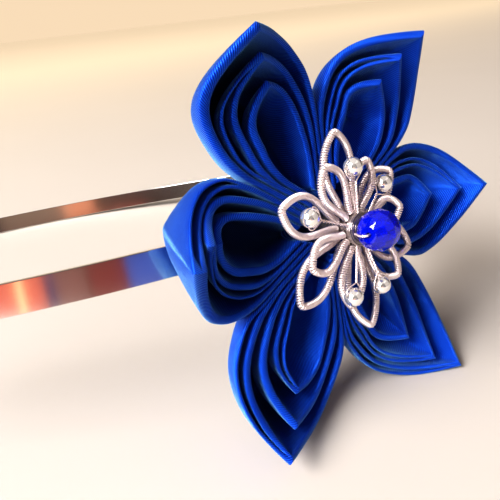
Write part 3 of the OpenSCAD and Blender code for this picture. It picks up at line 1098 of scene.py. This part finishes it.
def make_hub_wraps(finish):
    """Thin wire wound unevenly round the hub over the feet of the loops"""
    path = []
    for k in range(WRAP_TURNS * WRAP_STEPS + 1):
        a = math.tau * k / WRAP_STEPS
        height = WRAP_H + WRAP_RISE * k / WRAP_STEPS + 0.1 * math.sin(a * 1.37)
        path.append((WRAP_R * math.cos(a), WRAP_R * math.sin(a), height))
    # and on over the top of the post, each turn inside the last
    for k in range(1, WRAP_TURNS * WRAP_STEPS):
        a = math.tau * k / WRAP_STEPS
        out = WRAP_TOP_R - WRAP_INWARDS * k / WRAP_STEPS + 0.06 * math.sin(a * 1.31)
        height = WRAP_TOP_H + 0.05 * math.sin(a * 2.37)
        path.append((out * math.cos(a), out * math.sin(a), height))
    wraps = drawn_wire(np.array(path) * MM, WRAP_WIRE_R * MM)
    put(wraps, FLOWER)
    finish_piece(wraps, "hub_wraps", finish, "thin_wire")


# Strip and felt


def spoke(degrees):
    """A step of one in the strip's plane, at an angle round the head"""
    a = math.radians(degrees)
    return Vector((math.cos(a), math.sin(a), 0))


def arc_centre(joint, radius):
    """Centre of an arc that carries on from the crown at a joint"""
    a, out = math.radians(joint), CROWN_R - radius
    return Vector((out * math.cos(a), CROWN_R + out * math.sin(a), 0))


def make_strip(finish):
    """A flat section, spun along the near arm, the crown and the far arm"""
    first, last = CROWN_START - ARM_TURN, CROWN_START + CROWN_TURN + ARM_TURN
    near = arc_centre(CROWN_START, ARM_R)
    crown = arc_centre(CROWN_START, CROWN_R)
    far = arc_centre(CROWN_START + CROWN_TURN, ARM_R)
    ends = [near + spoke(first) * ARM_R, far + spoke(last) * ARM_R]
    strip = primitive(bpy.ops.mesh.primitive_plane_add, size=1)
    turn = turned(first, "Z") @ turned(90, "X")
    section = Matrix.Diagonal((BAND_T * MM, BAND_W * MM, 1, 1))
    strip.data.transform(Matrix.Translation(ends[0] * MM) @ turn @ section)
    edit(strip, "FACE")
    bpy.ops.mesh.select_all(action="SELECT")
    for centre, angle, steps in (
        (near, ARM_TURN, ARM_STEPS),
        (crown, CROWN_TURN, CROWN_STEPS),
        (far, ARM_TURN, ARM_STEPS),
    ):
        bpy.ops.mesh.spin(
            steps=steps, angle=-math.radians(angle), center=centre * MM, axis=(0, 0, 1)
        )
    bpy.ops.mesh.select_all(action="SELECT")
    bpy.ops.mesh.remove_doubles(threshold=0.000002)
    bpy.ops.mesh.normals_make_consistent(inside=False)

    def at_corner(p, q):
        """An edge through the strip's thickness, at a corner of an end"""
        at_end = any(math.dist(p.xy, end.xy * MM) < 0.6 * BAND_T * MM for end in ends)
        at_side = abs(abs(p.z) - BAND_W / 2 * MM) < 1e-6 and abs(p.z - q.z) < 1e-6
        return at_end and at_side and abs((p - q).length - BAND_T * MM) < 2e-5

    select_where(strip, edges=at_corner)
    bpy.ops.mesh.bevel(offset=END_ROUND * MM, segments=10)
    object_mode()
    soften(strip, sizes().edge_round, 3, 50)
    put(strip, REST)
    # Under the bevel's own steps, so that the flat faces mirror as flat ones
    smooth_by_angle(strip, 12)
    finish_piece(strip, "polished_strip", finish, "polished_steel", "headband")


# The felt in the strip's frame, where the petals are at -Y: how thick each
# disc is, where its middle lies, and how far it rises over the strip
FELT = table(
    "name radius thickness middle rise",
    ("felt_front_disc", 16.0, 0.95, -1.15, 0),
    ("felt_back_disc", 11.0, 1.0, -0.1, 1.15),
)
# Half the width that it covers at its full rise, and how soon it falls
FELT_OVER_STRIP = 3.1
FELT_FALL = 1.6


def felt_point(disc, across, down):
    """A point of a disc, drawn in from a square, from its places of -1 to 1"""
    x = across * math.sqrt(1 - down * down / 2) * disc.radius
    z = down * math.sqrt(1 - across * across / 2) * disc.radius
    ragged = 1 + 0.012 * noise.noise(Vector((x * 0.9, z * 0.9, disc.radius)))
    off = max(0.0, abs(z) - FELT_OVER_STRIP)
    y = disc.middle + disc.rise * math.exp(-(off / FELT_FALL) ** 2)
    y += 0.08 * noise.noise(Vector((x * 0.5, z * 0.5, 4.0)))
    return x * ragged * MM, y * MM, z * ragged * MM


def make_felt(disc, finish):
    """A round piece of felt, soft at its edge"""
    side = 2 * disc.radius * MM
    grid = bpy.ops.mesh.primitive_grid_add
    piece = primitive(grid, x_subdivisions=56, y_subdivisions=56, size=side)
    for v in piece.data.vertices:
        v.co = felt_point(disc, v.co.x / MM / disc.radius, v.co.y / MM / disc.radius)
    thick = piece.modifiers.new("thick", "SOLIDIFY")
    thick.thickness = disc.thickness * MM
    thick.offset = 0
    soften(piece, 0.3, 2, 60)
    edit(piece)
    face_outwards()
    put(piece, REST)
    smooth_by_angle(piece, 60)
    finish_piece(piece, disc.name, finish, "felt", "felt_backing")


# Stage

# Where the camera stood, and how it is turned about X, Y and Z
LENS = 37.1475
CAMERA_PLACE = (-0.051936, -0.137207, 0.074094)
CAMERA_TURN = (65.01232, 5.71417, -38.00724)

FLOOR_SIZE = (16.0, 8.0)
FLOOR_MIDDLE = (0.0, 3.5, 0.0)
# Weak light from all round, and the cream that the camera sees past the
# floor's edge
AIR = (1.0, 0.7, 0.6, 1.0)
AIR_STRENGTH = 0.09
BACKDROP_SEEN = (0.67, 0.535, 0.388, 1.0)

AIM = (0.0, -0.07, 0.03)
SUN_PLACE = (-0.75, 0.12, 0.62)
SUN_STRENGTH = 3.9
SUN_SPREAD = 30.0
SUN_COLOUR = (1.0, 0.95, 0.88)
LAMPS = table(
    "name place aim power size colour",
    ("window", (-0.62, -0.16, 0.4), AIM, 8.0, (0.35, 0.5), (0.97, 0.98, 1.0)),
    ("front fill", (0.45, -0.75, 0.45), AIM, 1.4, (1.2, 1.2), (1.0, 0.93, 0.88)),
    ("ceiling", (-0.3, 0.0, 2.2), (-0.3, 0, 0), 18.0, (4.0, 4.0), (1.0, 0.96, 0.92)),
)
# Weak coloured lamps low behind the camera, which the strip mirrors: how
# far off they stand, and for each arm its place and its lamps' height and
# tallness. Then each lamp's direction and width in degrees, colour and power
GLOW_FAR = 0.6
NEAR_ARM, FAR_ARM = table(
    "place height tall",
    ((-0.035, -0.052, 0.0335), 0.018, 0.08),
    ((0.0, 0.083, 0.004), 0.092, 0.06),
)
GLOWS = table(
    "arm name turn width colour power",
    (NEAR_ARM, "orange glow", -132.0, 16.0, (1.0, 0.2, 0.12), 0.75),
    (NEAR_ARM, "pale streak", -129.5, 1.4, (1.0, 0.8, 0.4), 1.2),
    (NEAR_ARM, "blue glow", -122.5, 2.2, (0.08, 0.1, 1.0), 0.12),
    (NEAR_ARM, "brown glow", -117.5, 7.5, (1.0, 0.4, 0.35), 0.22),
    (NEAR_ARM, "dark red glow", -108.5, 9.5, (1.0, 0.03, 0.03), 0.18),
    (NEAR_ARM, "pale blue glow", -98.0, 11.0, (0.02, 0.2, 1.0), 0.45),
    (FAR_ARM, "far orange glow", -121.0, 5.5, (1.0, 0.4, 0.22), 0.75),
    (FAR_ARM, "far brown glow", -113.0, 12.0, (1.0, 0.7, 0.5), 0.2),
)


def turn_to(thing, place, aim):
    thing.location = place
    way = Vector(aim) - Vector(place)
    thing.rotation_euler = way.to_track_quat("-Z", "Y").to_euler()
    bpy.context.scene.collection.objects.link(thing)


def add_sun():
    """Soft light from far away: it reaches the whole floor evenly"""
    sun = bpy.data.lights.new("daylight", "SUN")
    sun.energy = SUN_STRENGTH
    sun.angle = math.radians(SUN_SPREAD)
    sun.color = SUN_COLOUR
    turn_to(bpy.data.objects.new("daylight", sun), SUN_PLACE, (0, 0, 0))


def add_lamp(name, place, aim, power, size, colour):
    """A soft rectangular lamp that faces the headband"""
    lamp = bpy.data.lights.new(name, "AREA")
    lamp.energy = power
    lamp.color = colour
    lamp.shape = "RECTANGLE"
    lamp.size, lamp.size_y = size
    turn_to(bpy.data.objects.new(name, lamp), place, aim)


def add_glow(glow):
    """A lamp that an arm mirrors in one direction, level with the mirroring"""
    x, y, _ = glow.arm.place
    height, tall = glow.arm.height, glow.arm.tall
    turn = math.radians(glow.turn)
    place = (x + GLOW_FAR * math.cos(turn), y + GLOW_FAR * math.sin(turn), height)
    wide = 2 * GLOW_FAR * math.tan(math.radians(glow.width) / 2)
    power = glow.power * math.pi * wide * tall
    add_lamp(glow.name, place, (x, y, height), power, (wide, tall), glow.colour)


def make_floor():
    floor = primitive(bpy.ops.mesh.primitive_plane_add, size=1)
    size = Matrix.Diagonal((*FLOOR_SIZE, 1, 1))
    floor.data.transform(Matrix.Translation(FLOOR_MIDDLE) @ size)
    floor.name = "floor"
    floor.data.materials.append(floor_finish())


def set_world():
    """Weak light from all round; past the floor's edge the camera sees cream"""
    world = bpy.data.worlds.new("soft light")
    world.use_nodes = True
    tree = world.node_tree
    air = next(n for n in tree.nodes if n.type == "BACKGROUND")
    set_inputs(air, AIR, AIR_STRENGTH)
    seen = add_node(tree, "ShaderNodeBackground", BACKDROP_SEEN).outputs[0]
    by_camera = add_node(tree, "ShaderNodeLightPath").outputs["Is Camera Ray"]
    both = add_node(tree, "ShaderNodeMixShader", by_camera, air.outputs[0], seen)
    end = next(n for n in tree.nodes if n.type == "OUTPUT_WORLD")
    set_inputs(end, Surface=both.outputs[0])
    bpy.context.scene.world = world


def set_camera():
    lens = bpy.data.cameras.new("camera")
    lens.lens = LENS
    lens.sensor_width = 36.0
    lens.clip_start = 0.005
    lens.clip_end = 20.0
    camera = bpy.data.objects.new("camera", lens)
    turn = Euler([math.radians(a) for a in CAMERA_TURN])
    camera.matrix_world = Matrix.LocRotScale(Vector(CAMERA_PLACE), turn, None)
    bpy.context.scene.collection.objects.link(camera)
    bpy.context.scene.camera = camera


# Operators


class HEADBAND_OT_strip(Operator):
    """Models the polished steel strip along its two arms and crown"""

    bl_idname = "headband.strip"
    bl_label = "Steel strip"

    def execute(self, context):
        make_strip(metal_finish("polished steel", colours().steel, 0.07, 0.15, 60.0))
        return {"FINISHED"}


class HEADBAND_OT_felt(Operator):
    """Models the two felt discs that hold the flower on the strip"""

    bl_idname = "headband.felt"
    bl_label = "Felt backing"

    def execute(self, context):
        felt = felt_finish()
        for disc in FELT:
            make_felt(disc, felt)
        return {"FINISHED"}


class HEADBAND_OT_petals(Operator):
    """Models the six petals, each of three nested folds of satin ribbon"""

    bl_idname = "headband.petals"
    bl_label = "Ribbon petals"

    def execute(self, context):
        satin = satin_finish()
        for i in range(len(PETALS)):
            for fold in range(len(FOLDS)):
                make_fold(i, fold, satin)
        return {"FINISHED"}


class HEADBAND_OT_loops(Operator):
    """Winds the twelve pointed loops of coiled wire"""

    bl_idname = "headband.loops"
    bl_label = "Coiled wire loops"

    def execute(self, context):
        wire = metal_finish("coiled wire", colours().wire, 0.34, 0.5, 900.0, 0.85)
        for i in range(len(LOOPS)):
            make_loop(i, wire)
        return {"FINISHED"}


class HEADBAND_OT_beads(Operator):
    """Models the five small beads and the twisted stems that hold them"""

    bl_idname = "headband.beads"
    bl_label = "Small beads and stems"

    def execute(self, context):
        silver = metal_finish("bead silver", colours().bead, 0.05, 0.14, 1500.0, 0.85)
        wire = metal_finish("stem wire", colours().wire, 0.2, 0.3, 900.0, 0.8)
        for i in range(len(BEADS)):
            make_small_bead(i, silver)
            make_stem(i, wire)
        return {"FINISHED"}


class HEADBAND_OT_glass(Operator):
    """Models the faceted glass bead, its tie and the wraps at the hub"""

    bl_idname = "headband.glass"
    bl_label = "Glass bead and hub"

    def execute(self, context):
        wire = metal_finish("tie wire", colours().wire, 0.2, 0.3, 900.0, 0.8)
        make_glass_bead(glass_finish())
        make_glass_wire(wire)
        # The wraps and the post at the hub take the wire's own colour at 0.42 of its brightness:
        # painted shade for the hub under the glass bead
        painted_shade_wire = metal_finish("hub wire in painted shade", rgba(colours().wire, 0.42)[:3], 0.2, 0.3, 900.0, 0.9)
        make_hub_wraps(painted_shade_wire)
        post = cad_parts["rosette_post"]
        post.data.materials.clear()
        post.data.materials.append(painted_shade_wire)
        return {"FINISHED"}


class HEADBAND_OT_stage(Operator):
    """Sets the floor, the backdrop, the light and the camera"""

    bl_idname = "headband.stage"
    bl_label = "Stage"

    def execute(self, context):
        context.scene.view_settings.view_transform = "Standard"
        context.scene.view_settings.look = "High Contrast"
        make_floor()
        set_world()
        add_sun()
        for lamp in LAMPS:
            add_lamp(*lamp)
        for glow in GLOWS:
            add_glow(glow)
        set_camera()
        return {"FINISHED"}


class HEADBAND_PT_panel(Panel):
    """Lists the pieces, and the sizes and colours that they use"""

    bl_label = "Ribbon Flower Headband"
    bl_idname = "HEADBAND_PT_panel"
    bl_space_type = "VIEW_3D"
    bl_region_type = "UI"
    bl_category = "Headband"

    def draw(self, context):
        for operator in OPERATORS:
            self.layout.operator(operator.bl_idname)
        for group in (context.scene.headband_sizes, context.scene.headband_colours):
            box = self.layout.box()
            for name in group.bl_rna.properties.keys():
                if name not in ("rna_type", "name"):
                    box.prop(group, name)


OPERATORS = (
    HEADBAND_OT_strip,
    HEADBAND_OT_felt,
    HEADBAND_OT_petals,
    HEADBAND_OT_loops,
    HEADBAND_OT_beads,
    HEADBAND_OT_glass,
    HEADBAND_OT_stage,
)
CLASSES = (HeadbandSizes, HeadbandColours, *OPERATORS, HEADBAND_PT_panel)


def register():
    for one in CLASSES:
        bpy.utils.register_class(one)
    bpy.types.Scene.headband_sizes = PointerProperty(type=HeadbandSizes)
    bpy.types.Scene.headband_colours = PointerProperty(type=HeadbandColours)


def unregister():
    del bpy.types.Scene.headband_colours
    del bpy.types.Scene.headband_sizes
    for one in reversed(CLASSES):
        bpy.utils.unregister_class(one)


def main():
    register()
    bpy.ops.headband.strip()
    bpy.ops.headband.felt()
    bpy.ops.headband.petals()
    bpy.ops.headband.loops()
    bpy.ops.headband.beads()
    bpy.ops.headband.glass()
    bpy.ops.headband.stage()


if __name__ == "__main__":
    main()
